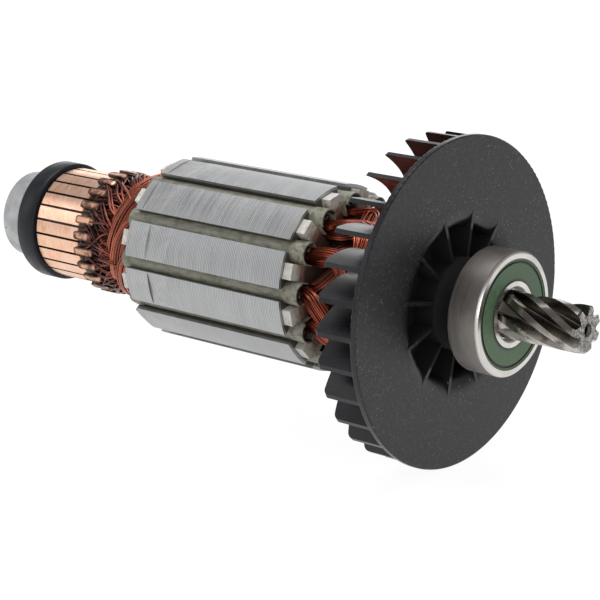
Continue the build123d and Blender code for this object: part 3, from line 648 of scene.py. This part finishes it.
# At the front some bundles leave their slots straight or swept back before they turn, by so many
# millimetres and degrees, and all the end turns reach further out than at the rear.
front_sweeps = {3: (5.4, -17.0), 4: (5.4, -18.0), 5: (4.8, -15.0), 8: (2.4, -15.0)}
sweep_middle = 0.28
sweep_width = 0.13
front_stretch = 1.3
rear_stretch = 1.0
rng = np.random.default_rng(12)
turn_line = through(turn_route, 4)
share = np.linspace(0, 1, len(turn_line))
sway = np.sin(np.pi * share)
steep = np.gradient(turn_line[:, 2])
along = np.gradient(np.radians(turn_line[:, 1])) * turn_line[:, 0]
slope = np.hypot(steep, along)
for coil in range(coil_count):
    strands = []
    for number in range(strands_in_coil):
        reach = bundle_radius * math.sqrt((number + 0.5) / strands_in_coil)
        spin = golden_turn * number + coil
        for end_x, outwards in ((stack_front, front_stretch), (stack_rear, -rear_stretch)):
            wander = through(rng.normal(0, wander_size, (6, 3)), 12)
            wander = wander[np.linspace(0, len(wander) - 1, len(share)).astype(int)] * sway[:, None]
            twist = spin + rng.uniform(-twist_most, twist_most) * share
            route = turn_line.copy()
            if outwards > 0:
                sweep = np.exp(-(((share - sweep_middle) / sweep_width) ** 2))
                sweep = sweep * min(1.0, 0.6 + number / strands_in_coil)
                ahead, back = front_sweeps.get(coil, (0.0, 0.0))
                route[:, 2] += ahead * sweep
                route[:, 1] += back * sweep
                route[:, 0] += 0.12 * ahead * sweep
            route[:, 0] += reach * np.cos(twist) * (0.8 - 0.3 * sway) + wander[:, 0]
            lift = reach * np.sin(twist) * (0.9 + 1.3 * sway) + wander[:, 1]
            route[:, 2] += lift * along / slope
            route[:, 1] -= np.degrees(lift * steep / slope / turn_line[:, 0])
            strands.append(placed(route, end_x, outwards, slot_angle + slot_step * coil))
    piece = tubes(f"coil_wires_{coil + 1:02d}", strands, wire_radius, 5, wire_material)
    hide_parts(f"coil_{coil + 1:02d}")

# Leads: one wire bends round under each hook and both its legs run back over the rear end turns into
# the slots, among short slanting ends of the coils. The heat of welding the hooks has blackened them.
lead_paint = Surface("lead_wire", Metallic=0.75, Coat_Weight=0.1)
lead_strand = lead_paint.node("ShaderNodeAttribute", {"attribute_name": "strand_tone"}, out="Fac")
lead_tone = lead_paint.noise(1.2, 4) * 0.6 + lead_strand * 0.4
lead_dark = lead_paint.x.span(-100.0, -106.5)
lead_colour = lead_paint.mix(lead_tone.span(0.3, 0.7), (0.12, 0.026, 0.018), (0.48, 0.135, 0.08))
lead_burnt = lead_paint.mix(lead_tone.span(0.45, 0.75), (0.024, 0.011, 0.010), (0.20, 0.058, 0.042))
lead_colour = lead_paint.mix(lead_dark * 0.92, lead_colour, lead_burnt)
lead_material = lead_paint.paint(lead_colour, lead_tone.span(0.3, 0.7, 0.28, 0.45))
lead_radius = 0.26
hook_radius = 14.4
bend_width = 4.2
loose_share = 0.14
loose_height = 4.6
ends_a_bar = 13
leads = []
for bar in range(bar_count):
    at = bar_angle + bar_step * bar
    lean = math.sin(math.radians(190.0 - at))
    legs = []
    for side in (-1, 1):
        slant = 52.0 * lean + rng.uniform(-16, 16) + 5.0 * side
        drop = rng.uniform(-0.3, 0.4)
        over = loose_height if rng.random() < loose_share else 0.0
        legs.append((
            (12.6 + over * 0.8, at + slant * (0.75 + over * 0.06), 8.4 - over * 1.6),
            (14.4 + over * 0.5, at + slant * 0.56, 11.6 - over * 0.4),
            (15.1 + drop + over * 0.2, at + slant * 0.36, 14.6),
            (14.9 + drop * 0.4, at + side * 2.8 + slant * 0.16, 17.2),
            (14.5, at + side * 5.2, 19.4),
            (hook_radius, at + side * 5.4, 20.9),
        ))
    bend = (
        (hook_radius, at - bend_width, 21.9),
        (hook_radius, at, 22.35),
        (hook_radius, at + bend_width, 21.9),
    )
    leads.append(placed(through((*legs[0], *bend, *reversed(legs[1])), 4), stack_rear, -1, 0.0))
    for end in range(ends_a_bar):
        start = at + rng.uniform(-7, 7)
        reach = rng.uniform(-26, 26) + 16.0 * lean
        top = rng.uniform(13.4, 14.9)
        route = through((
            (top - 0.9, start, 22.3),
            (top + 0.3, start + reach * 0.1, 20.6),
            (top + rng.uniform(-0.3, 0.5), start + reach * 0.45, 17.6),
            (top + 0.1, start + reach * 0.8, 15.2),
            (top - 1.2, start + reach, 12.6),
        ), 4)
        leads.append(placed(route, stack_rear, -1, 0.0))
piece = tubes("commutator_leads", leads, lead_radius, 6, lead_material)
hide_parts("coil_leads")

# Varnish: black beads of it stand in the mouth of every slot, above the wires and under the wedge,
# and round the hooks, where it ran together when the armature was dipped.
varnish = Surface("slot_varnish")
varnish_cloud = varnish.noise(1.2, 3)
varnish_colour = varnish.mix(varnish_cloud.span(0.4, 0.7), (0.008, 0.007, 0.006), (0.05, 0.04, 0.03))
varnish_material = varnish.paint(varnish_colour, varnish_cloud.span(0.3, 0.7, 0.15, 0.35))
bead_radius = 0.55
beads_a_slot = 4
beads_a_bar = 2
beads = []
for slot in range(slot_count):
    for bead in range(beads_a_slot):
        at = slot_angle + slot_step * slot + rng.uniform(-3.0, 3.0)
        high = rng.uniform(17.9, 19.0)
        bend = rng.uniform(-2.5, 2.5)
        beads.append(placed(through((
            (high, at, -3.0),
            (high + rng.uniform(-0.3, 0.3), at + bend * 0.5, 0.5),
            (high + rng.uniform(-0.7, 0.3), at + bend, rng.uniform(2.4, 3.6)),
        ), 3), stack_front, 1, 0.0))
for bead in range(bar_count * beads_a_bar):
    at = bar_angle + bar_step / beads_a_bar * bead + rng.uniform(-1.0, 1.0)
    out = rng.uniform(20.6, 22.0)
    high = rng.uniform(14.3, 15.0)
    beads.append(placed(through((
        (high - 1.0, at, out - 0.9),
        (high, at + rng.uniform(-2, 2), out),
        (high - 0.9, at + rng.uniform(-3, 3), out + rng.uniform(0.4, 1.4)),
    ), 4), stack_rear, -1, 0.0))
tubes("slot_varnish", beads, bead_radius, 7, varnish_material)
